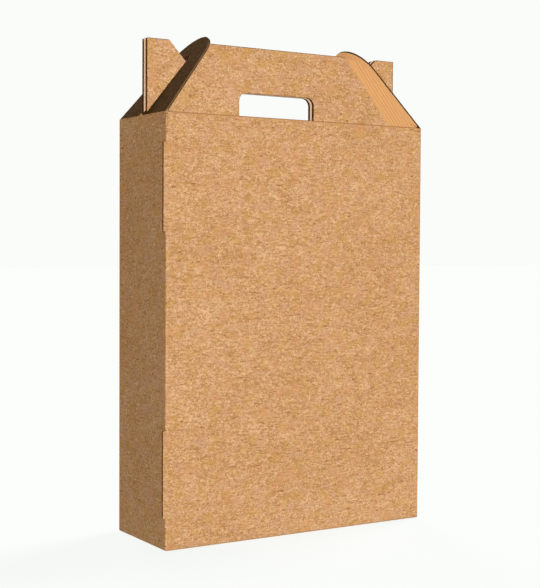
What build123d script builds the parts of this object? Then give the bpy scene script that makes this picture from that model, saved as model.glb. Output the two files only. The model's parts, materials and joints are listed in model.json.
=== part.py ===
from build123d import *
from math import cos, hypot, radians, sin, tan
import os

# Carrier box for three wine bottles, die cut and folded from corrugated board.
# Lengths are millimetres. X runs along the front, Y to the back, Z up.
# The origin is the middle of the base, on the surface that the box stands on.

# Board and body
board = 3.0
width = 255.0
depth = 88.0
height = 350.0
corner_radius = 1.6
crease_radius = 1.2
fit_gap = 0.5
overrun = 1.0

# Glued joint at the back right corner
lap_width = 32.0
lap_margin = 9.0
lap_bevel = 12.0
joint_step = 1.2

# Tabs cut out of the fold at the front left corner
tab_reach = 2.5
tab_length = 70.0
tab_margin_low = 26.5
tab_margin_high = 24.5
tab_slit = 0.5
tab_slit_depth = 1.5

# Snap-lock base: two long flaps outside, tongue, legs and end flaps inside
seam_offset = 6.0
base_taper = 30.0
tongue_share = 0.612
tongue_reach = 28.0
leg_reach = 24.0
lock_root = 10.0
lock_radius = 8.0
base_end_length = 50.0
base_end_taper = 9.0

# Carrying handle: two upright leaves over the middle of the top
handle_height = 63.0
handle_gap = 3.0
handle_inset = 2.5
hole_width = 76.0
hole_height = 24.3
hole_radius = 7.0

# Ears that hook the end flaps, at both ends of each leaf
ear_width = 20.0
ear_lift = 0.5
ear_bevel = 47.0

# End flaps, leaning in from vertical, hooked over the ears
flap_lean = 39.3
flap_setback = 1.7
flap_bridge = 21.0
nose_radius = 29.5
slot_clearance = 0.6
leaf_clearance = 0.4
crease_gap = 0.1

# Folded insert that keeps the bottles apart
cells = 3
divider_height = 230.0
divider_tab = 34.0
divider_bend = 2.0

# Sizes that follow from the ones above
inner_width = width - 2 * board
inner_depth = depth - 2 * board
lean = radians(flap_lean)
bevel = radians(ear_bevel)
top_half = inner_width / 2 - fit_gap
ear_outer = -width / 2 + handle_inset
ear_inner = ear_outer + ear_width
handle_top = height + handle_height
slot_length = hypot(handle_inset + ear_width, handle_height) + slot_clearance
slot_width = 2 * board + handle_gap + 2 * slot_clearance
flap_length = slot_length + flap_bridge
flap_half = depth / 2 - flap_setback
bevel_run = (handle_height * tan(lean) - handle_inset - ear_width) / (cos(bevel) + sin(bevel) * tan(lean))
cell_width = (inner_width - (cells - 1) * board) / cells
lock_room = inner_width - 2 * base_end_length - 4 * fit_gap
tongue_width = tongue_share * lock_room
leg_width = (lock_room - tongue_width) / 2


def beside_flap(along, inward=0):
    """Front view point at a distance along the left end flap from its crease, and inward of its face."""
    return (
        -width / 2 + along * sin(lean) + inward * cos(lean),
        height + along * cos(lean) - inward * sin(lean),
    )


with BuildPart() as carton:
    # Body: a tube with rounded folds, open at both ends
    with BuildSketch():
        RectangleRounded(width, depth, corner_radius)
    extrude(amount=height)
    fillet(carton.faces().sort_by(Axis.Z)[0].edges(), crease_radius)
    with BuildSketch():
        Rectangle(inner_width, inner_depth)
    extrude(amount=height, mode=Mode.SUBTRACT)

    # Top creases of the front and back walls, rounded over
    for side, outward in ((-1, Align.MAX), (1, Align.MIN)):
        with BuildSketch(Plane.YZ):
            with Locations((side * (depth / 2 - crease_radius), height - crease_radius)):
                Rectangle(crease_radius + overrun, crease_radius + overrun, align=(outward, Align.MIN))
                Circle(crease_radius, mode=Mode.SUBTRACT)
        extrude(amount=width, both=True, mode=Mode.SUBTRACT)

    # Cut edge of the right wall, set in from the back face where the joint is glued
    with BuildSketch():
        with Locations((inner_width / 2, depth / 2 - joint_step)):
            Rectangle(board + overrun, joint_step + overrun, align=Align.MIN)
    extrude(amount=height, mode=Mode.SUBTRACT)

    # Lap glued inside the right wall
    with BuildSketch(Plane.YZ.offset(inner_width / 2)):
        with BuildLine():
            Polyline(
                (inner_depth / 2, lap_margin),
                (inner_depth / 2, height - lap_margin),
                (inner_depth / 2 - lap_width, height - lap_margin - lap_bevel),
                (inner_depth / 2 - lap_width, lap_margin + lap_bevel),
                close=True,
            )
        make_face()
    extrude(amount=-board)

    # Tabs: the front wall runs past the corner, with a slit behind it
    tab_bottoms = (tab_margin_low, height - tab_margin_high - tab_length)
    with BuildSketch(Plane.XZ.offset(depth / 2)):
        with Locations(*[(-width / 2 - tab_reach, bottom) for bottom in tab_bottoms]):
            Rectangle(tab_reach + board, tab_length, align=Align.MIN)
    extrude(amount=-board)
    with BuildSketch(Plane.XZ.offset(inner_depth / 2)):
        with Locations(*[(-width / 2, bottom) for bottom in tab_bottoms]):
            Rectangle(tab_slit_depth, tab_length, align=Align.MIN)
    extrude(amount=-tab_slit, mode=Mode.SUBTRACT)

    # Outer base flaps, meeting in a seam behind the middle
    with BuildSketch():
        for hinge, seam in ((-inner_depth / 2, seam_offset), (inner_depth / 2, seam_offset + fit_gap)):
            with BuildLine():
                Polyline(
                    (-top_half, hinge),
                    (top_half, hinge),
                    (width / 2 - base_taper, seam),
                    (base_taper - width / 2, seam),
                    close=True,
                )
            make_face()
    extrude(amount=board)

    # Tongue of the back flap and legs of the front flap, tucked inside through the seam
    with BuildSketch(Plane.XY.offset(board)) as tongue:
        with Locations((0, seam_offset - tongue_reach)):
            Rectangle(tongue_width, tongue_reach + lock_root, align=(Align.CENTER, Align.MIN))
        fillet(tongue.vertices().group_by(Axis.Y)[0], lock_radius)
    extrude(amount=board)
    leg_place = (tongue_width + leg_width) / 2 + fit_gap
    for side in (-1, 1):
        with BuildSketch(Plane.XY.offset(board)) as leg:
            with Locations((side * leg_place, seam_offset - lock_root)):
                Rectangle(leg_width, lock_root + leg_reach, align=(Align.CENTER, Align.MIN))
            fillet(leg.vertices().group_by(Axis.Y)[-1], lock_radius)
        extrude(amount=board)

    # End flaps of the base, over the outer ones
    for side in (-1, 1):
        with BuildSketch(Plane.XY.offset(board)):
            with BuildLine():
                Polyline(
                    (side * inner_width / 2, inner_depth / 2 - fit_gap),
                    (side * (inner_width / 2 - base_end_length), inner_depth / 2 - base_end_taper),
                    (side * (inner_width / 2 - base_end_length), base_end_taper - inner_depth / 2),
                    (side * inner_width / 2, fit_gap - inner_depth / 2),
                    close=True,
                )
            make_face()
        extrude(amount=board)

    # Top panel and handle leaf of the front wall, repeated for the back wall
    with BuildSketch(Plane.YZ) as top_section:
        with Locations((-handle_gap / 2, height)):
            Rectangle((inner_depth - handle_gap) / 2 + overrun, board, align=Align.MAX)
        fillet(top_section.vertices().group_by(Axis.X)[-1].sort_by(Axis.Y)[0], crease_radius)
    top_panel = extrude(amount=top_half, both=True)
    mirror(top_panel, about=Plane.XZ)
    leaf_end = slot_length - leaf_clearance
    leaf_inset = board + leaf_clearance
    with BuildSketch(Plane.XZ.offset(handle_gap / 2)):
        with BuildLine():
            half_leaf = Polyline(
                (0, height),
                (-top_half, height),
                (-top_half, height + ear_lift),
                (ear_outer, height + ear_lift),
                (ear_outer, handle_top),
                (ear_inner, handle_top),
                (ear_inner + bevel_run * cos(bevel), handle_top - bevel_run * sin(bevel)),
                beside_flap(leaf_end),
                beside_flap(leaf_end, leaf_inset),
                (-width / 2 + handle_height * tan(lean) + leaf_inset / cos(lean), handle_top),
                (0, handle_top),
            )
            mirror(half_leaf, about=Plane.YZ)
        make_face()
        with Locations((0, height)):
            RectangleRounded(hole_width, 2 * hole_height, hole_radius, mode=Mode.SUBTRACT)
    front_leaf = extrude(amount=board)
    mirror(front_leaf, about=Plane.XZ)

with BuildPart() as left_end_flap:
    # Tapered flap with a round nose, slotted from its crease to take the ears
    flap_face = Plane(
        origin=(-width / 2, 0, height),
        x_dir=(0, -1, 0),
        z_dir=(-cos(lean), 0, sin(lean)),
    )
    with BuildSketch(flap_face):
        with BuildLine():
            Line((-flap_half, 0), (flap_half, 0))
            CenterArc((0, flap_length - nose_radius), nose_radius, 0, 360)
        make_hull()
        with Locations((0, slot_length)):
            Rectangle(slot_width, slot_length + overrun, align=(Align.CENTER, Align.MAX), mode=Mode.SUBTRACT)
    extrude(amount=-board)
    split(bisect_by=Plane.XY.offset(height + crease_gap), keep=Keep.TOP)

with BuildPart() as right_end_flap:
    mirror(left_end_flap.part, about=Plane.YZ)

with BuildPart() as bottle_divider:
    # One folded strip: tab, cross wall, spine along the back, cross wall, tab
    wall_x = (cell_width + board) / 2
    wall_y = inner_depth / 2 - fit_gap - board / 2
    with BuildSketch(Plane.XY.offset(2 * board)):
        with BuildLine():
            FilletPolyline(
                (-wall_x - divider_tab, -wall_y),
                (-wall_x, -wall_y),
                (-wall_x, wall_y),
                (wall_x, wall_y),
                (wall_x, -wall_y),
                (wall_x + divider_tab, -wall_y),
                radius=divider_bend,
            )
        trace(line_width=board)
    extrude(amount=divider_height)

carton.part.label = "carton"
left_end_flap.part.label = "left_end_flap"
right_end_flap.part.label = "right_end_flap"
bottle_divider.part.label = "bottle_divider"

os.makedirs("parts", exist_ok=True)
export_step(carton.part, "parts/carton.step")
export_step(left_end_flap.part, "parts/left_end_flap.step")
export_step(right_end_flap.part, "parts/right_end_flap.step")
export_step(bottle_divider.part, "parts/bottle_divider.step")
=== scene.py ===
import json
import math

import bpy
from bpy.props import FloatProperty, FloatVectorProperty, PointerProperty
from mathutils import Matrix, Vector

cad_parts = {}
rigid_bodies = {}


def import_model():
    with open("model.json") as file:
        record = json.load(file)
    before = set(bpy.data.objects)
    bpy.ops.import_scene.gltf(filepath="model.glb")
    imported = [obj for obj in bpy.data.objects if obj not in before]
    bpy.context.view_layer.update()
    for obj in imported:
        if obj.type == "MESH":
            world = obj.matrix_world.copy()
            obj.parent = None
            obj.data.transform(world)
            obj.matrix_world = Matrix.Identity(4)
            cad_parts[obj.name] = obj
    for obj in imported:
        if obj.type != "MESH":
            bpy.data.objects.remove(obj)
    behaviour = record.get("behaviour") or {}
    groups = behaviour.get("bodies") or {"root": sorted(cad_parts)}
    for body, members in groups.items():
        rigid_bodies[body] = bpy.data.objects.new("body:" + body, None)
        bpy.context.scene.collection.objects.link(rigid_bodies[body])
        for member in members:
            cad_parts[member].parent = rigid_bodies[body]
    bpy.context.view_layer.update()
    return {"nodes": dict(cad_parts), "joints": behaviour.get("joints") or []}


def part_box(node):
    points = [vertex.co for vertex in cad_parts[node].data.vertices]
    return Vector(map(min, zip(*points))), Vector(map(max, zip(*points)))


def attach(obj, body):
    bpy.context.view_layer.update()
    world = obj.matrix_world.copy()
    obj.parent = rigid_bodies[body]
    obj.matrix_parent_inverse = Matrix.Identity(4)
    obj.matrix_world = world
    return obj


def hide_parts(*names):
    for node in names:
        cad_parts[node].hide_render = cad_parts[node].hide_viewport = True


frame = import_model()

bl_info = {
    "name": "Bottle Carrier Box",
    "version": (1, 0, 0),
    "blender": (4, 5, 0),
    "location": "View3D > Sidebar > Carrier",
    "description": "Folded carrier of brown corrugated board with a handle and hooked end flaps",
    "category": "Object",
}

CREASES = {joint["child"]: Vector(joint["pos_m"]) for joint in frame["joints"]}
SIDES = ("left", "right")

# Finishes of the board's faces, in the order of its material slots; some of them are painted shade
# or painted light
OUTER, INNER, CORE_SHADE, CUT_SHADE, CREASE_PAINTED_LIGHT, PRESSED_SHADE, FOLD_SHADE_AND_EDGE, BACK = range(8)
FINISHES = (
    "outer_liner",
    "inner_liner",
    "board_core",
    "cut_liner",
    "creased_liner",
    "pressed_liner",
    "folded_liner",
    "leaf_back",
)

# Distances in metres by which places and points are compared
NEAR = 0.0003
MERGE = 0.000001
WAVE_MERGE = 0.00001

# Cosines between a face's normal and an axis, by which faces are told apart
SQUARE_ON = 0.99
FACING = 0.9
EDGE_ON = 0.2
FLAP_EDGE_ON = 0.1
UNDERSIDE = -0.5
TOP_FOLD = (0.05, 0.9)
BASE_FOLD = (-0.95, -0.05)

# Angles up to which neighbouring faces are shaded as one surface
FOLD_ANGLE = math.radians(32)
WAVE_ANGLE = math.radians(40)

# Weight that lets only the largest faces decide the shading along a fold
LARGEST_FACES = 100

# Steps in a wave of the fluting, in its path round a flap's nose and in a wave of the washboard
WAVE_STEPS = 8
NOSE_STEPS = 60
LINE_STEPS = 4

# How far from a line of the washboard a point may lie, as a share of a step
ON_LINE = 0.01

# Width of the strip beside a flap's slot that moves with the slot, in depths of a groove
SLOT_STRIP = 1.25

# Noise of the papers: cycles in a metre along each axis, detail and roughness
OUTER_NOISE = {
    "grain": ((820.0, 820.0, 1000.0), 2.0, 0.6),
    "flecks": ((400.0, 400.0, 640.0), 3.0, 0.65),
    "fibres": ((120.0, 120.0, 640.0), 1.0, 0.5),
    "mottle": ((70.0, 70.0, 100.0), 2.0, 0.5),
    "broad": ((16.0, 16.0, 20.0), 2.0, 0.6),
    "hues": ((90.0, 90.0, 110.0), 2.0, 0.55),
    "blush": ((60.0, 90.0, 70.0), 2.0, 0.55),
    "specks": ((430.0, 430.0, 700.0), 0.0, 0.5),
    "strands": ((170.0, 170.0, 800.0), 1.0, 0.5),
}
INNER_NOISE = {
    "flecks": ((260.0, 420.0, 260.0), 3.0, 0.6),
    "mottle": ((60.0, 60.0, 60.0), 2.0, 0.5),
}
PLAIN_NOISE = ((900.0, 900.0, 900.0), 2.0, 0.6)
MEAN_NOISE = 0.5

# Outer liner: its mean place between dark and light, and how far each noise moves it
OUTER_TONE = 0.375
OUTER_SHARES = {"grain": 3.05, "flecks": 2.65, "fibres": 0.9, "mottle": 0.6, "broad": 0.5}

# Patches over that tone: noise, where it starts and is full, share, and colour
OUTER_PATCHES = (
    ("hues", 0.48, 0.72, 0.62, "warm"),
    ("hues", 0.52, 0.28, 0.62, "pale"),
    ("blush", 0.5, 0.72, 0.5, "rosy"),
    ("specks", 0.71, 0.80, 0.7, "speck"),
    ("strands", 0.665, 0.75, 0.8, "strand"),
)

# Inner liner and plain papers: brightness, and how far noise and flutes move it
INNER_TONE = 0.85
INNER_SHARES = {"flecks": 0.2, "mottle": 0.1}
FLUTE_SHARE = 0.06
PLAIN_TONE = 0.8
PLAIN_SHARE = 0.4

# Gloss and relief of the papers
SPECULAR = 0.15
OUTER_ROUGHNESS = 0.86
OUTER_ROUGHNESS_SHARE = 0.08
INNER_ROUGHNESS = 0.88
PLAIN_ROUGHNESS = 0.92
OUTER_RELIEF = 0.03
FLECK_RELIEF = 0.6
FIBRE_RELIEF = 0.4
INNER_RELIEF = 0.3
INNER_RELIEF_SHARE = 0.5
RELIEF_HEIGHT = 0.0003

# Lamps: name, where the light comes from, strength, and whether it casts a shadow
LAMPS = (
    ("low_lamp", (-0.311, -0.705, -0.637), 1.255, False),
    ("top_lamp", (0.56, 0.15, 0.815), 0.50, True),
    ("back_lamp", (0.25, 0.95, 0.15), 0.75, True),
)


class CarrierBoard(bpy.types.PropertyGroup):
    """Sizes of the corrugated board, and of the folds and cuts that show it."""

    board: FloatProperty(
        name="Board",
        description="Thickness of the board",
        default=0.003,
        unit="LENGTH",
    )
    liner: FloatProperty(
        name="Liner",
        description="Thickness of a liner in a cut edge",
        default=0.0003,
        unit="LENGTH",
    )
    lip: FloatProperty(
        name="Lip",
        description="Thickness of a flap's liner in its cut edge",
        default=0.00045,
        unit="LENGTH",
    )
    groove: FloatProperty(
        name="Groove",
        description="Depth to which a cut edge is open",
        default=0.0036,
        unit="LENGTH",
    )
    pitch: FloatProperty(
        name="Flute pitch",
        description="Length of one wave of the fluting",
        default=0.00435,
        unit="LENGTH",
    )
    medium: FloatProperty(
        name="Fluting",
        description="Thickness of the fluted paper",
        default=0.0005,
        unit="LENGTH",
    )
    washboard: FloatProperty(
        name="Washboard",
        description="Depth of the lines that the flutes press into the inner liner",
        default=0.0002,
        unit="LENGTH",
    )
    flute_shift: FloatProperty(
        name="Flute shift",
        description="Place of a flute from the middle of a flap",
        default=0.0016,
        unit="LENGTH",
    )
    crush: FloatProperty(
        name="Crush",
        description="How much a die-cut edge is pressed thinner",
        default=0.00115,
        unit="LENGTH",
    )
    crush_reach: FloatProperty(
        name="Crush reach",
        description="Width of the pressed strip along a die-cut edge",
        default=0.006,
        unit="LENGTH",
    )
    slot_press: FloatProperty(
        name="Slot press",
        description="How far a slot's sides close on the leaves",
        default=0.00045,
        unit="LENGTH",
    )
    foot: FloatProperty(
        name="Foot",
        description="Closed start of a flap's cut edge next to its crease",
        default=0.003,
        unit="LENGTH",
    )
    leaf_foot: FloatProperty(
        name="Leaf foot",
        description="Closed start of a leaf's cut edge over the top",
        default=0.001,
        unit="LENGTH",
    )
    rim: FloatProperty(
        name="Rim",
        description="Width of the dark line along the handle's edges",
        default=0.0004,
        unit="LENGTH",
    )
    lean: FloatProperty(
        name="Flap lean",
        description="Angle of an end flap from upright",
        default=math.radians(39.3),
        subtype="ANGLE",
    )
    flap_half: FloatProperty(
        name="Flap half width",
        description="Half of an end flap's crease",
        default=0.0423,
        unit="LENGTH",
    )
    nose: FloatProperty(
        name="Nose radius",
        description="Round end of an end flap",
        default=0.0295,
        unit="LENGTH",
    )
    ear: FloatProperty(
        name="Ear width",
        description="Width of an ear at its top",
        default=0.020,
        unit="LENGTH",
    )
    ear_inset: FloatProperty(
        name="Ear inset",
        description="From the end of the box to an ear",
        default=0.0025,
        unit="LENGTH",
    )
    leaf_gap: FloatProperty(
        name="Leaf gap",
        description="Room between the handle leaves",
        default=0.003,
        unit="LENGTH",
    )


class CarrierColours(bpy.types.PropertyGroup):
    """Colours of the papers and of the stage, in linear light."""

    dark: FloatVectorProperty(
        name="Dark flecks",
        description="Colour of the darker fibres of the outer liner",
        default=(0.552, 0.262, 0.087),
        subtype="COLOR",
    )
    light: FloatVectorProperty(
        name="Light flecks",
        description="Colour of the lighter fibres of the outer liner",
        default=(0.931, 0.581, 0.321),
        subtype="COLOR",
    )
    warm: FloatVectorProperty(
        name="Warm patches",
        description="Colour that patches of the outer liner lean to",
        default=(0.694, 0.3685, 0.1087),
        subtype="COLOR",
    )
    pale: FloatVectorProperty(
        name="Pale patches",
        description="Colour that other patches of the outer liner lean to",
        default=(0.71, 0.389, 0.2225),
        subtype="COLOR",
    )
    rosy: FloatVectorProperty(
        name="Rosy patches",
        description="Colour that a few patches of the outer liner lean to",
        default=(0.757, 0.353, 0.155),
        subtype="COLOR",
    )
    speck: FloatVectorProperty(
        name="Specks",
        description="Colour of the small dark specks of the outer liner",
        default=(0.276, 0.131, 0.0435),
        subtype="COLOR",
    )
    strand: FloatVectorProperty(
        name="Strands",
        description="Colour of the long dark fibres of the outer liner",
        default=(0.40, 0.125, 0.03),
        subtype="COLOR",
    )
    # Painted light: a plain, redder and slightly lighter copy of the outer liner on the top creases,
    # which lifts the shade of their upward-facing rounding
    creased: FloatVectorProperty(
        name="Creased liner",
        description="Colour of the outer liner along the top creases",
        default=(0.80, 0.38, 0.145),
        subtype="COLOR",
    )
    # Painted shade along the base fold; the same mid brown marks the left flap's cut edge and its
    # outer lip
    folded: FloatVectorProperty(
        name="Folded liner",
        description="Colour of the folds of the base and of the left flap's cut edge",
        default=(0.44, 0.245, 0.12),
        subtype="COLOR",
    )
    back: FloatVectorProperty(
        name="Leaf backs",
        description="Colour of the handle leaves where they face each other",
        default=(0.74, 0.50, 0.33),
        subtype="COLOR",
    )
    inner: FloatVectorProperty(
        name="Inner liner",
        description="Mean colour of the inner liner",
        default=(0.88, 0.448, 0.176),
        subtype="COLOR",
    )
    # Painted shade: the inner liner darkened on a flap's pressed strip, to offset the main lamp's
    # stronger light on its slope
    pressed: FloatVectorProperty(
        name="Pressed liner",
        description="Mean colour of the inner liner along a flap's die-cut edge",
        default=(0.7788, 0.39648, 0.15576),
        subtype="COLOR",
    )
    # Partly the darker fibres of a cut, partly painted shade: the lips of cut edges and the rims
    # along the handle's edges are painted near-black
    cut: FloatVectorProperty(
        name="Cut liner",
        description="Colour of the liners where they are cut",
        default=(0.12, 0.042, 0.008),
        subtype="COLOR",
    )
    # Painted shade: near-black in the hollow of an open cut edge, in the flaps' slots and on the
    # right flap's cut edge
    core: FloatVectorProperty(
        name="Core",
        description="Colour inside a cut edge",
        default=(0.05, 0.015, 0.002),
        subtype="COLOR",
    )
    fluting: FloatVectorProperty(
        name="Fluting",
        description="Colour of the fluted paper in the handle's top edge",
        default=(0.60, 0.40, 0.22),
        subtype="COLOR",
    )
    shaded: FloatVectorProperty(
        name="Shaded fluting",
        description="Colour of the fluted paper in the flaps' edges",
        default=(0.16, 0.08, 0.03),
        subtype="COLOR",
    )
    ambient: FloatVectorProperty(
        name="Ambient",
        description="Colour of the light from all sides",
        default=(0.87, 0.82, 0.5),
        subtype="COLOR",
    )
    backdrop: FloatVectorProperty(
        name="Backdrop",
        description="Colour that the floor and the backdrop shine with",
        default=(0.956, 0.972, 0.946),
        subtype="COLOR",
    )
    floor: FloatVectorProperty(
        name="Floor",
        description="Colour of the floor that takes the light of the lamps",
        default=(0.12, 0.12, 0.12),
        subtype="COLOR",
    )


class CarrierStudio(bpy.types.PropertyGroup):
    """Camera and light."""

    lens: FloatProperty(
        name="Lens",
        description="Focal length of the camera",
        default=77.84,
        unit="CAMERA",
    )
    place: FloatVectorProperty(
        name="Camera place",
        description="Where the camera stands",
        default=(-0.5872, -0.9419, 0.2440),
        subtype="TRANSLATION",
        unit="LENGTH",
    )
    azimuth: FloatProperty(
        name="Azimuth",
        description="Turn of the camera about the box",
        default=math.radians(-31.7845),
        subtype="ANGLE",
    )
    elevation: FloatProperty(
        name="Elevation",
        description="How far the camera looks down",
        default=math.radians(2.1605),
        subtype="ANGLE",
    )
    roll: FloatProperty(
        name="Roll",
        description="Tilt of the camera",
        default=math.radians(0.3062),
        subtype="ANGLE",
    )
    spread: FloatProperty(
        name="Lamp spread",
        description="Angle that each lamp fills, which softens its shadows",
        default=math.radians(20.0),
        subtype="ANGLE",
    )
    ambient: FloatProperty(
        name="Ambient",
        description="Strength of the light from all sides",
        default=0.045,
        subtype="FACTOR",
    )
    glow: FloatProperty(
        name="Floor glow",
        description="Strength of the floor's own white",
        default=0.945,
        subtype="FACTOR",
    )
    floor_size: FloatProperty(
        name="Floor size",
        description="Side of the floor",
        default=24.0,
        unit="LENGTH",
    )
    floor_drop: FloatProperty(
        name="Floor drop",
        description="Room between the floor and the base",
        default=0.0002,
        unit="LENGTH",
    )


class CarrierProps(bpy.types.PropertyGroup):
    """All settings of the carrier box."""

    board: PointerProperty(
        name="Board",
        description="Sizes of the board",
        type=CarrierBoard,
    )
    colours: PointerProperty(
        name="Colours",
        description="Colours of the papers and the stage",
        type=CarrierColours,
    )
    studio: PointerProperty(
        name="Studio",
        description="Camera and light",
        type=CarrierStudio,
    )


def settings():
    """The settings kept with the scene."""
    return bpy.context.scene.carrier


class Value:
    """The output of a node: arithmetic on it adds the Math nodes for it."""

    def __init__(self, tree, socket):
        self.tree = tree
        self.socket = socket

    def math(self, operation, first, second):
        return Graph(self.tree).math(operation, first, second)

    def __add__(self, other):
        return self.math("ADD", self, other)

    def __radd__(self, other):
        return self.math("ADD", other, self)

    def __sub__(self, other):
        return self.math("SUBTRACT", self, other)

    def __rsub__(self, other):
        return self.math("SUBTRACT", other, self)

    def __mul__(self, other):
        return self.math("MULTIPLY", self, other)

    def __rmul__(self, other):
        return self.math("MULTIPLY", other, self)


class Graph:
    """The nodes of one material or world."""

    def __init__(self, tree):
        self.tree = tree

    def node(self, kind, options=None, inputs=None):
        """A node of that type: its options are set first, then the values or links of its inputs."""
        made = self.tree.nodes.new(kind)
        for name, option in (options or {}).items():
            setattr(made, name, option)
        for name, value in (inputs or {}).items():
            if value is None:
                continue
            if isinstance(value, Value):
                self.tree.links.new(value.socket, made.inputs[name])
            else:
                made.inputs[name].default_value = value
        return {socket.name: Value(self.tree, socket) for socket in made.outputs}

    def math(self, operation, first, second=None):
        """A sum, product or other function of one or two numbers."""
        inputs = {0: first, 1: second}
        return self.node("ShaderNodeMath", {"operation": operation}, inputs)["Value"]

    def scale(self, colour, share):
        """A colour times a number."""
        inputs = {0: tuple(colour), "Scale": share}
        return self.node("ShaderNodeVectorMath", {"operation": "SCALE"}, inputs)["Vector"]

    def mix(self, factor, first, second):
        """A colour between two."""
        inputs = {"Fac": factor, "Color1": first, "Color2": second}
        return self.node("ShaderNodeMixRGB", None, inputs)["Color"]

    def noise(self, place, scale, detail, rough):
        """Noise at a place, with one scale for each axis."""
        stretching = {0: place, 1: scale}
        stretched = self.node("ShaderNodeVectorMath", {"operation": "MULTIPLY"}, stretching)
        return self.node(
            "ShaderNodeTexNoise",
            {"noise_dimensions": "3D"},
            {"Vector": stretched["Vector"], "Scale": 1.0, "Detail": detail, "Roughness": rough},
        )["Fac"]

    def steps(self, value, start, full):
        """0 up to a start, 1 from full on, and smooth between them."""
        return self.node(
            "ShaderNodeMapRange",
            {"interpolation_type": "SMOOTHSTEP"},
            {"Value": value, "From Min": start, "From Max": full},
        )["Result"]

    def relief(self, strength, height):
        """Normals of a finely uneven surface."""
        inputs = {"Strength": strength, "Distance": RELIEF_HEIGHT, "Height": height}
        return self.node("ShaderNodeBump", None, inputs)["Normal"]


def rgba(colour):
    """A colour socket's value."""
    return (*colour, 1.0)


def new_material(name):
    """An empty material and its graph."""
    material = bpy.data.materials.new(name)
    material.use_nodes = True
    material.node_tree.nodes.clear()
    return material, Graph(material.node_tree)


def close_material(graph, colour, roughness, normal=None):
    """The surface of a paper."""
    shader = graph.node(
        "ShaderNodeBsdfPrincipled",
        None,
        {
            "Base Color": colour,
            "Roughness": roughness,
            "Specular IOR Level": SPECULAR,
            "Normal": normal,
        },
    )["BSDF"]
    graph.node("ShaderNodeOutputMaterial", None, {"Surface": shader})


def outer_paper(name, colours):
    """Brown liner with flecks and fibres that lie along the box."""
    material, graph = new_material(name)
    place = graph.node("ShaderNodeTexCoord")["Object"]
    noise = {kind: graph.noise(place, *form) for kind, form in OUTER_NOISE.items()}
    tone = OUTER_TONE
    for kind, share in OUTER_SHARES.items():
        tone = tone + share * (noise[kind] - MEAN_NOISE)
    colour = graph.mix(tone, rgba(colours.dark), rgba(colours.light))
    for kind, start, full, share, patch in OUTER_PATCHES:
        mask = share * graph.steps(noise[kind], start, full)
        colour = graph.mix(mask, colour, rgba(getattr(colours, patch)))
    height = FLECK_RELIEF * noise["flecks"] + FIBRE_RELIEF * noise["fibres"]
    roughness = OUTER_ROUGHNESS + OUTER_ROUGHNESS_SHARE * noise["mottle"]
    close_material(graph, colour, roughness, graph.relief(OUTER_RELIEF, height))
    return material


def inner_paper(name, colour):
    """Smoother, warmer liner on the inside of the board, with a faint line along each flute."""
    board = settings().board
    material, graph = new_material(name)
    place = graph.node("ShaderNodeTexCoord")["Object"]
    noise = {kind: graph.noise(place, *form) for kind, form in INNER_NOISE.items()}
    across = graph.node("ShaderNodeSeparateXYZ", None, {"Vector": place})["Y"]
    crest = board.flute_shift - board.pitch / LINE_STEPS
    tone = INNER_TONE
    for kind, share in INNER_SHARES.items():
        tone = tone + share * noise[kind]
    tone = tone + FLUTE_SHARE * graph.math("COSINE", (across - crest) * (2 * math.pi / board.pitch))
    normal = graph.relief(INNER_RELIEF, INNER_RELIEF_SHARE * noise["flecks"])
    close_material(graph, graph.scale(colour, tone), INNER_ROUGHNESS, normal)
    return material


def plain_paper(name, colour):
    """Paper of one colour, a little uneven."""
    material, graph = new_material(name)
    place = graph.node("ShaderNodeTexCoord")["Object"]
    tone = PLAIN_TONE + PLAIN_SHARE * graph.noise(place, *PLAIN_NOISE)
    close_material(graph, graph.scale(colour, tone), PLAIN_ROUGHNESS)
    return material


def papers():
    """The materials of the papers by name, each made once."""
    colours = settings().colours
    makers = {
        "outer_liner": (outer_paper, colours),
        "inner_liner": (inner_paper, colours.inner),
        "pressed_liner": (inner_paper, colours.pressed),
        "board_core": (plain_paper, colours.core),
        "cut_liner": (plain_paper, colours.cut),
        "creased_liner": (plain_paper, colours.creased),
        "folded_liner": (plain_paper, colours.folded),
        "leaf_back": (plain_paper, colours.back),
        "fluted_paper": (plain_paper, colours.fluting),
        "shaded_fluting": (plain_paper, colours.shaded),
    }
    return {
        name: bpy.data.materials.get(name) or maker(name, colour)
        for name, (maker, colour) in makers.items()
    }


def alone(piece):
    """Makes one object the selected and active one, in object mode."""
    if bpy.context.object and bpy.context.object.mode != "OBJECT":
        bpy.ops.object.mode_set(mode="OBJECT")
    bpy.ops.object.select_all(action="DESELECT")
    piece.select_set(True)
    bpy.context.view_layer.objects.active = piece


def board_copy(node, name):
    """A merged copy of a CAD node's board, with the finishes of its faces."""
    piece = bpy.data.objects.new(name, frame["nodes"][node].data.copy())
    piece.data.name = name
    bpy.context.scene.collection.objects.link(piece)
    alone(piece)
    bpy.ops.object.mode_set(mode="EDIT")
    bpy.ops.mesh.select_mode(type="FACE")
    bpy.ops.mesh.select_all(action="SELECT")
    bpy.ops.mesh.remove_doubles(threshold=MERGE)
    bpy.ops.mesh.customdata_custom_splitnormals_clear()
    bpy.ops.mesh.normals_make_consistent(inside=False)
    bpy.ops.object.mode_set(mode="OBJECT")
    piece.data.materials.clear()
    finishes = papers()
    for finish in FINISHES:
        piece.data.materials.append(finishes[finish])
    return piece


def select_faces(piece, wanted):
    """Selects the faces whose middle and normal pass a test, counts them and stays in edit mode."""
    alone(piece)
    bpy.ops.object.mode_set(mode="EDIT")
    bpy.ops.mesh.select_mode(type="FACE")
    bpy.ops.mesh.select_all(action="DESELECT")
    bpy.ops.object.mode_set(mode="OBJECT")
    count = 0
    for face in piece.data.polygons:
        face.select = wanted(face.center, face.normal)
        count += face.select
    bpy.ops.object.mode_set(mode="EDIT")
    return count


def points_of(piece, wanted):
    """Indices of the points of the faces that pass a test."""
    return {
        index
        for face in piece.data.polygons
        if wanted(face.center, face.normal)
        for index in face.vertices
    }


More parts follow.
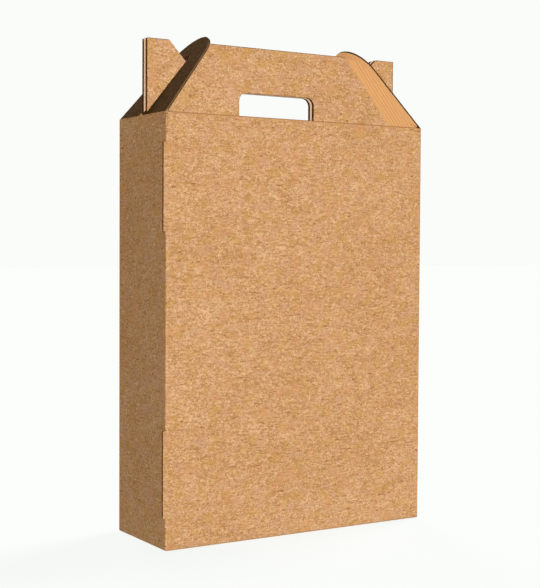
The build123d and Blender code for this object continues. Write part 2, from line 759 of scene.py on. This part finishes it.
def assign(piece, finish):
    """Gives the selected faces one of the finishes."""
    piece.active_material_index = finish
    bpy.ops.object.material_slot_assign()


def paint(piece, finish, wanted):
    """Gives the faces that pass a test one of the finishes."""
    if select_faces(piece, wanted):
        assign(piece, finish)
    bpy.ops.object.mode_set(mode="OBJECT")


def cut_faces(piece, wanted, place, normal):
    """Cuts the chosen faces along a plane."""
    if select_faces(piece, wanted):
        bpy.ops.mesh.bisect(plane_co=place, plane_no=normal)
    bpy.ops.object.mode_set(mode="OBJECT")


def shift_points(piece, wanted, move):
    """Moves the points that pass a test."""
    alone(piece)
    bpy.ops.object.mode_set(mode="EDIT")
    bpy.ops.mesh.select_mode(type="VERT")
    bpy.ops.mesh.select_all(action="DESELECT")
    bpy.ops.object.mode_set(mode="OBJECT")
    for point in piece.data.vertices:
        point.select = wanted(point)
    bpy.ops.object.mode_set(mode="EDIT")
    bpy.ops.transform.translate(value=move)
    bpy.ops.object.mode_set(mode="OBJECT")


def open_edges(piece, wanted, liner):
    """Opens cut edges between their two liners, so that the hollow core shows."""
    depth = settings().board.groove
    paint(piece, CUT_SHADE, wanted)
    if select_faces(piece, wanted):
        bpy.ops.mesh.inset(thickness=liner, use_boundary=True, use_even_offset=True)
        bpy.ops.mesh.extrude_region_shrink_fatten(
            TRANSFORM_OT_shrink_fatten={"value": -depth, "use_even_offset": True}
        )
        bpy.ops.mesh.select_more()
        # The hollow of the groove is painted near-black: painted shade
        assign(piece, CORE_SHADE)
    bpy.ops.object.mode_set(mode="OBJECT")


def dark_rims(piece, wanted):
    """Draws a thin dark line, partly painted shade, along the outline of the chosen flat faces."""
    width = settings().board.rim
    paint(piece, CUT_SHADE, wanted)
    if select_faces(piece, wanted):
        bpy.ops.mesh.inset(thickness=width, use_boundary=True, use_even_offset=True)
        assign(piece, OUTER)
    bpy.ops.object.mode_set(mode="OBJECT")


def smooth(piece):
    """Shades the board smooth, with its folds and edges sharp."""
    alone(piece)
    bpy.ops.object.shade_smooth_by_angle(angle=FOLD_ANGLE)


def keep_flat(piece):
    """Keeps the shading of large flat faces even up to their folds."""
    alone(piece)
    weighted = piece.modifiers.new("folds", "WEIGHTED_NORMAL")
    weighted.keep_sharp = True
    weighted.weight = LARGEST_FACES
    bpy.ops.object.modifier_apply(modifier=weighted.name)


def ready(piece, body, *nodes):
    """Hands a finished piece to its body, in place of its CAD nodes."""
    piece.visible_diffuse = False
    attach(piece, body)
    if nodes:
        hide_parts(*nodes)


def flap_axes(side):
    """The middle of an end flap's crease, the way its face looks and the way it rises."""
    lean = settings().board.lean
    crease = CREASES[side + "_flap"]
    turn = math.copysign(1, crease.x)
    outward = Vector((turn * math.cos(lean), 0, math.sin(lean)))
    along = Vector((-turn * math.sin(lean), 0, math.cos(lean)))
    return crease, outward, along


def flap_reach(side):
    """Length of an end flap from its crease to its tip."""
    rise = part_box(side + "_end_flap")[1].z - CREASES[side + "_flap"].z
    return rise / math.cos(settings().board.lean)


class CARRIER_OT_carton(bpy.types.Operator):
    """Walls, base, top panels and handle leaves"""

    bl_idname = "carrier.carton"
    bl_label = "Carton"

    def execute(self, context):
        board = settings().board
        low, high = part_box("carton")
        top = CREASES["left_flap"].z
        half_x = CREASES["right_flap"].x
        inner_x = half_x - board.board
        inner_y = high.y - board.board
        flaps = [flap_axes(side)[:2] for side in SIDES]
        piece = board_copy("carton", "carton_board")

        def inside(middle, normal):
            return (
                abs(middle.x) < inner_x + NEAR
                and abs(middle.y) < inner_y + NEAR
                and board.board - NEAR < middle.z < top - NEAR
                and (normal.z > UNDERSIDE or middle.z > top / 2)
            )

        def leaf_face(middle, normal):
            return middle.z > top + NEAR and abs(normal.y) > FACING

        def gap_face(middle, normal):
            return leaf_face(middle, normal) and abs(middle.y) < board.leaf_gap

        def slot_face(middle, normal):
            depths = [(crease - middle).dot(outward) for crease, outward in flaps]
            return gap_face(middle, normal) and any(0 < depth < board.board for depth in depths)

        def plain_rim(middle, normal):
            below_top = middle.z < high.z - board.rim
            inside_end = middle.x < half_x - board.ear_inset - board.rim
            return leaf_face(middle, normal) and below_top and inside_end

        def leaf_edge(middle, normal):
            return middle.z > top + board.leaf_foot and abs(normal.y) < EDGE_ON

        def tab_end(middle, normal):
            return middle.x < -half_x - NEAR and normal.x < -FACING

        def tab_back(point):
            return point.co.x < low.x + NEAR and point.co.y > low.y + board.board - NEAR

        def joint_edge(middle, normal):
            return normal.y > FACING and middle.x > inner_x + NEAR and middle.y < high.y - NEAR

        def base_edge(middle, normal):
            return (
                NEAR < middle.z < board.board - NEAR
                and abs(middle.x) < inner_x - NEAR
                and abs(middle.y) < inner_y - NEAR
                and abs(normal.z) < EDGE_ON
            )

        def top_crease(middle, normal):
            at_fold = middle.z > top - board.board and abs(middle.y) > inner_y
            return at_fold and TOP_FOLD[0] < normal.z < TOP_FOLD[1]

        def base_crease(middle, normal):
            return middle.z < board.board / 2 and BASE_FOLD[0] < normal.z < BASE_FOLD[1]

        # Tabs pressed thin, and a dark line, partly painted shade, along the top and the right end
        # of the leaves
        shift_points(piece, tab_back, (0, -board.crush, 0))
        dark_rims(piece, leaf_face)
        paint(piece, OUTER, plain_rim)
        # Pale backs of the leaves, with painted shade on them inside the slots of the flaps
        for crease, outward in flaps:
            for depth in (0, board.board):
                cut_faces(piece, gap_face, crease - outward * depth, outward)
        paint(piece, BACK, gap_face)
        paint(piece, CORE_SHADE, slot_face)
        # Inside of the box, creases with painted light on the top ones and painted shade on the base
        # fold, and open cut edges
        paint(piece, INNER, inside)
        paint(piece, CREASE_PAINTED_LIGHT, top_crease)
        paint(piece, FOLD_SHADE_AND_EDGE, base_crease)
        for edge in (leaf_edge, tab_end, joint_edge, base_edge):
            open_edges(piece, edge, board.liner)
        smooth(piece)
        keep_flat(piece)
        ready(piece, "carton", "carton")
        return {"FINISHED"}


def washboard(piece, wanted, outward):
    """Presses the lines of the flutes into a flat face of the inner liner."""
    board = settings().board
    step = board.pitch / LINE_STEPS
    slot_side = board.leaf_gap / 2 + board.board
    count = int(board.flap_half / step)
    select_faces(piece, wanted)
    bpy.ops.mesh.dissolve_faces()
    bpy.ops.object.mode_set(mode="OBJECT")
    for line in range(-count, count + 1):
        place = board.flute_shift + line * step
        if abs(abs(place) - slot_side) > step / 2:
            cut_faces(piece, wanted, (0, place, 0), (0, 1, 0))
    chosen = points_of(piece, wanted)

    def on_line(phase):
        def test(point):
            place = (point.co.y - board.flute_shift) / step
            line = round(place)
            return (
                point.index in chosen
                and abs(place - line) < ON_LINE
                and line % LINE_STEPS == phase
            )

        return test

    for phase in range(1, LINE_STEPS):
        share = math.sin(math.pi * phase / LINE_STEPS) ** 2
        shift_points(piece, on_line(phase), outward * board.washboard * share)
    select_faces(piece, wanted)
    bpy.ops.mesh.region_to_loop()
    bpy.ops.mesh.mark_sharp()
    bpy.ops.object.mode_set(mode="OBJECT")


def end_flap(side):
    """One slotted end flap, pressed thin along its die-cut edge."""
    board = settings().board
    crease, outward, along = flap_axes(side)
    foot = crease + along * board.foot
    slot_half = board.leaf_gap / 2 + board.board + SLOT_STRIP * board.groove
    slot_end = flap_reach(side) - board.nose / 2
    piece = board_copy(side + "_end_flap", side + "_flap_board")

    def depth(place):
        return (crease - place).dot(outward)

    def over_foot(place):
        return (place - foot).dot(along)

    def in_slot(place):
        return abs(place.y) < slot_half and (place - crease).dot(along) < slot_end

    def inside(middle, normal):
        return normal.dot(outward) < -FLAP_EDGE_ON

    def inner_face(middle, normal):
        return normal.dot(outward) < -SQUARE_ON and depth(middle) > board.board - NEAR

    def pressed_face(middle, normal):
        return inside(middle, normal) and not inner_face(middle, normal)

    def cut_edge(middle, normal):
        return abs(normal.dot(outward)) < FLAP_EDGE_ON

    def open_edge(middle, normal):
        return cut_edge(middle, normal) and over_foot(middle) > 0

    def inner_lip(middle, normal):
        deep = depth(middle) > board.board - board.crush - board.lip
        return open_edge(middle, normal) and deep and not in_slot(middle)

    def outer_lip(middle, normal):
        shallow = depth(middle) < board.lip
        return open_edge(middle, normal) and shallow and not in_slot(middle)

    # Strip along the edge of the inner face, and a cut across the edges above the foot
    select_faces(piece, inner_face)
    bpy.ops.mesh.dissolve_faces()
    bpy.ops.mesh.inset(thickness=board.crush_reach, use_boundary=True, use_even_offset=True)
    bpy.ops.object.mode_set(mode="OBJECT")
    cut_faces(piece, cut_edge, foot, along)
    # Triangles, so that the strip bends the same way on both flaps
    select_faces(piece, inner_face)
    bpy.ops.mesh.quads_convert_to_tris(ngon_method="BEAUTY")
    bpy.ops.object.mode_set(mode="OBJECT")
    outline = points_of(piece, cut_edge)

    def pressed(point):
        return (
            point.index in outline
            and not in_slot(point.co)
            and depth(point.co) > board.board / 2
            and over_foot(point.co) > -NEAR
        )

    def slot_side(turned):
        return lambda point: in_slot(point.co) and point.co.y * turned > board.board

    # Outline pressed thin, and the slot closed on the leaves
    shift_points(piece, pressed, outward * board.crush)
    for turned in (-1, 1):
        shift_points(piece, slot_side(turned), (0, -turned * board.slot_press, 0))
    # Finishes, open cut edges and the lines of the flutes
    paint(piece, INNER, inside)
    # The pressed strip along the flap's edge is painted darker: painted shade
    paint(piece, PRESSED_SHADE, pressed_face)
    # Cut edge: mid brown on the left flap, near-black painted shade on the right flap
    paint(piece, FOLD_SHADE_AND_EDGE if side == "left" else CORE_SHADE, cut_edge)
    open_edges(piece, open_edge, board.lip)
    paint(piece, INNER, inner_lip)
    if side == "left":
        paint(piece, FOLD_SHADE_AND_EDGE, outer_lip)
    washboard(piece, inner_face, outward)
    smooth(piece)
    ready(piece, side + "_flap", side + "_end_flap")


class CARRIER_OT_end_flaps(bpy.types.Operator):
    """Slotted end flaps, hooked over the ears"""

    bl_idname = "carrier.end_flaps"
    bl_label = "End flaps"

    def execute(self, context):
        for side in SIDES:
            end_flap(side)
        return {"FINISHED"}


def guide_curve(name, path):
    """A flat curve through the points of a path."""
    curve = bpy.data.curves.new(name, "CURVE")
    curve.dimensions = "2D"
    spline = curve.splines.new("POLY")
    spline.points.add(len(path) - 1)
    for point, (across, along) in zip(spline.points, path):
        point.co = (across, along, 0, 1)
    guide = bpy.data.objects.new(name, curve)
    bpy.context.scene.collection.objects.link(guide)
    return guide


def fluting(name, path, placing, room, finish):
    """Fluted paper along a flat path, on edge in a groove with room between its liners."""
    board = settings().board
    rise = (room - board.medium) / 2
    length = sum(math.dist(point, following) for point, following in zip(path, path[1:]))
    waves = round(length / board.pitch)
    pitch = length / waves
    guide = guide_curve(name + "_path", path)

    bpy.ops.object.select_all(action="DESELECT")
    bpy.ops.mesh.primitive_grid_add(x_subdivisions=WAVE_STEPS, y_subdivisions=1, size=1)
    piece = bpy.context.object
    piece.name = name
    piece.data.name = name
    piece.scale = (pitch, board.groove - 2 * board.liner, 1)
    piece.location.x = pitch / 2
    bpy.ops.object.transform_apply(location=True, rotation=False, scale=True)

    def in_column(column):
        return lambda point: round(WAVE_STEPS * point.co.x / pitch) == column

    for column in range(1, WAVE_STEPS):
        swing = math.sin(2 * math.pi * column / WAVE_STEPS)
        shift_points(piece, in_column(column), (0, 0, swing * rise))

    row = piece.modifiers.new("row", "ARRAY")
    row.count = waves
    row.use_relative_offset = False
    row.use_constant_offset = True
    row.constant_offset_displace = (pitch, 0, 0)
    row.use_merge_vertices = True
    row.merge_threshold = WAVE_MERGE
    follow = piece.modifiers.new("follow", "CURVE")
    follow.object = guide
    follow.deform_axis = "POS_X"
    sheet = piece.modifiers.new("sheet", "SOLIDIFY")
    sheet.thickness = board.medium
    sheet.offset = 0
    for modifier in ("row", "follow", "sheet"):
        bpy.ops.object.modifier_apply(modifier=modifier)
    bpy.data.objects.remove(guide)
    piece.matrix_world = placing
    bpy.ops.object.transform_apply(location=True, rotation=True, scale=True)
    bpy.ops.object.shade_smooth_by_angle(angle=WAVE_ANGLE)
    piece.data.materials.append(papers()[finish])
    return piece


def joined(pieces, name):
    """Several objects as one."""
    alone(pieces[0])
    for piece in pieces:
        piece.select_set(True)
    bpy.ops.object.join()
    pieces[0].name = name
    pieces[0].data.name = name
    return pieces[0]


def flap_path(reach):
    """Middle of the groove round an end flap, as points across the flap and along it."""
    board = settings().board
    middle = reach - board.nose
    span = math.hypot(board.flap_half, middle)
    slant = math.acos(board.nose / span) - math.atan2(middle, board.flap_half)
    radius = board.nose - board.groove / 2
    foot = board.foot + board.liner
    start = (radius + (middle - foot) * math.sin(slant)) / math.cos(slant)
    path = [(start, foot)]
    for step in range(NOSE_STEPS + 1):
        angle = slant + (math.pi - 2 * slant) * step / NOSE_STEPS
        path.append((radius * math.cos(angle), middle + radius * math.sin(angle)))
    path.append((-start, foot))
    return path


def flap_fluting(side):
    """Fluted paper in the cut edge of one end flap."""
    board = settings().board
    crease, outward, along = flap_axes(side)
    axes = Matrix((along.cross(outward), along, outward)).transposed().to_4x4()
    thickness = board.board - board.crush
    placing = Matrix.Translation(crease - outward * thickness / 2) @ axes
    room = thickness - 2 * board.lip
    path = flap_path(flap_reach(side))
    return fluting(side + "_flap_fluting", path, placing, room, "shaded_fluting")


def handle_fluting():
    """Fluted paper in the top edges of the handle leaves and their ears."""
    board = settings().board
    crease = CREASES["right_flap"]
    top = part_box("carton")[1].z
    lean_in = (top - crease.z) * math.tan(board.lean) + board.board / math.cos(board.lean)
    notch = crease.x - lean_in - board.groove
    ear_end = crease.x - board.ear_inset - board.groove
    ear_start = crease.x - board.ear_inset - board.ear + board.groove
    room = board.board - 2 * board.liner
    upright = Matrix.Rotation(math.pi / 2, 4, "X")
    strips = []
    for leaf in (-1, 1):
        level = leaf * (board.leaf_gap + board.board) / 2
        placing = Matrix.Translation((0, level, top - board.groove / 2)) @ upright
        for start, end in ((-ear_end, -ear_start), (-notch, notch), (ear_start, ear_end)):
            path = [(start, 0), (end, 0)]
            strips.append(fluting("strip", path, placing, room, "fluted_paper"))
    return joined(strips, "handle_fluting")


class CARRIER_OT_fluting(bpy.types.Operator):
    """Fluted paper seen in the cut edges of the flaps and the handle"""

    bl_idname = "carrier.fluting"
    bl_label = "Fluting"

    def execute(self, context):
        for side in SIDES:
            ready(flap_fluting(side), side + "_flap")
        ready(handle_fluting(), "carton")
        return {"FINISHED"}


class CARRIER_OT_divider(bpy.types.Operator):
    """Folded insert between the bottles"""

    bl_idname = "carrier.divider"
    bl_label = "Divider"

    def execute(self, context):
        node = frame["nodes"]["bottle_divider"]
        node.data.materials.clear()
        node.data.materials.append(papers()["outer_liner"])
        return {"FINISHED"}


def floor_white():
    """Pale floor that shines a little less than white and still takes a shadow."""
    colours = settings().colours
    material, graph = new_material("floor_white")
    shader = graph.node(
        "ShaderNodeBsdfPrincipled",
        None,
        {
            "Base Color": rgba(colours.floor),
            "Roughness": 1.0,
            "Specular IOR Level": 0.0,
            "Emission Color": rgba(colours.backdrop),
            "Emission Strength": settings().studio.glow,
        },
    )["BSDF"]
    graph.node("ShaderNodeOutputMaterial", None, {"Surface": shader})
    return material


def studio_floor():
    """Floor that passes no light on to the box."""
    studio = settings().studio
    bpy.ops.object.select_all(action="DESELECT")
    bpy.ops.mesh.primitive_plane_add(size=studio.floor_size, location=(0, 0, -studio.floor_drop))
    floor = bpy.context.object
    floor.name = "floor"
    floor.visible_shadow = False
    floor.visible_diffuse = False
    floor.visible_glossy = False
    floor.data.materials.append(floor_white())


def studio_world():
    """Faint light from all sides, and a white backdrop for the camera."""
    colours = settings().colours
    world = bpy.data.worlds.new("studio")
    world.use_nodes = True
    world.node_tree.nodes.clear()
    graph = Graph(world.node_tree)
    seen = graph.node("ShaderNodeLightPath")["Is Camera Ray"]
    faint = {"Color": rgba(colours.ambient), "Strength": settings().studio.ambient}
    soft = graph.node("ShaderNodeBackground", None, faint)["Background"]
    full = {"Color": rgba(colours.backdrop), "Strength": 1.0}
    white = graph.node("ShaderNodeBackground", None, full)["Background"]
    mixed = graph.node("ShaderNodeMixShader", None, {0: seen, 1: soft, 2: white})["Shader"]
    graph.node("ShaderNodeOutputWorld", None, {"Surface": mixed})
    bpy.context.scene.world = world


def studio_lamps():
    """A shadowless main lamp from below at the front left, and two weaker ones with soft shadows."""
    for name, source, strength, shadow in LAMPS:
        lamp = bpy.data.lights.new(name, "SUN")
        lamp.use_shadow = shadow
        lamp.energy = strength * math.pi
        lamp.angle = settings().studio.spread
        holder = bpy.data.objects.new(name, lamp)
        holder.rotation_euler = Vector(source).to_track_quat("Z", "Y").to_euler()
        bpy.context.scene.collection.objects.link(holder)


def studio_camera():
    """Camera at the viewing angle of the photograph."""
    studio = settings().studio
    camera = bpy.data.cameras.new("camera")
    camera.lens = studio.lens
    holder = bpy.data.objects.new("camera", camera)
    bpy.context.scene.collection.objects.link(holder)
    holder.matrix_world = (
        Matrix.Translation(Vector(studio.place))
        @ Matrix.Rotation(studio.azimuth, 4, "Z")
        @ Matrix.Rotation(math.pi / 2 - studio.elevation, 4, "X")
        @ Matrix.Rotation(studio.roll, 4, "Z")
    )
    bpy.context.scene.camera = holder


class CARRIER_OT_stage(bpy.types.Operator):
    """Floor, light and camera"""

    bl_idname = "carrier.stage"
    bl_label = "Stage"

    def execute(self, context):
        studio_floor()
        studio_world()
        studio_lamps()
        studio_camera()
        context.scene.view_settings.view_transform = "Standard"
        return {"FINISHED"}


class CARRIER_PT_panel(bpy.types.Panel):
    """Carrier box"""

    bl_idname = "CARRIER_PT_panel"
    bl_label = "Bottle Carrier Box"
    bl_space_type = "VIEW_3D"
    bl_region_type = "UI"
    bl_category = "Carrier"

    def draw(self, context):
        layout = self.layout
        for group in (settings().board, settings().colours, settings().studio):
            column = layout.box().column()
            for name in group.__annotations__:
                column.prop(group, name)
        for operator in OPERATORS:
            layout.operator(operator.bl_idname)


OPERATORS = (
    CARRIER_OT_carton,
    CARRIER_OT_end_flaps,
    CARRIER_OT_fluting,
    CARRIER_OT_divider,
    CARRIER_OT_stage,
)
CLASSES = (CarrierBoard, CarrierColours, CarrierStudio, CarrierProps, *OPERATORS, CARRIER_PT_panel)


def register():
    """Adds the classes and the settings to Blender."""
    for cls in CLASSES:
        bpy.utils.register_class(cls)
    bpy.types.Scene.carrier = PointerProperty(
        name="Carrier",
        description="Settings of the carrier box",
        type=CarrierProps,
    )


def unregister():
    """Takes the settings and the classes out again."""
    del bpy.types.Scene.carrier
    for cls in reversed(CLASSES):
        bpy.utils.unregister_class(cls)


def main():
    """Builds the box and its stage."""
    register()
    bpy.ops.carrier.carton()
    bpy.ops.carrier.end_flaps()
    bpy.ops.carrier.fluting()
    bpy.ops.carrier.divider()
    bpy.ops.carrier.stage()


if __name__ == "__main__":
    main()
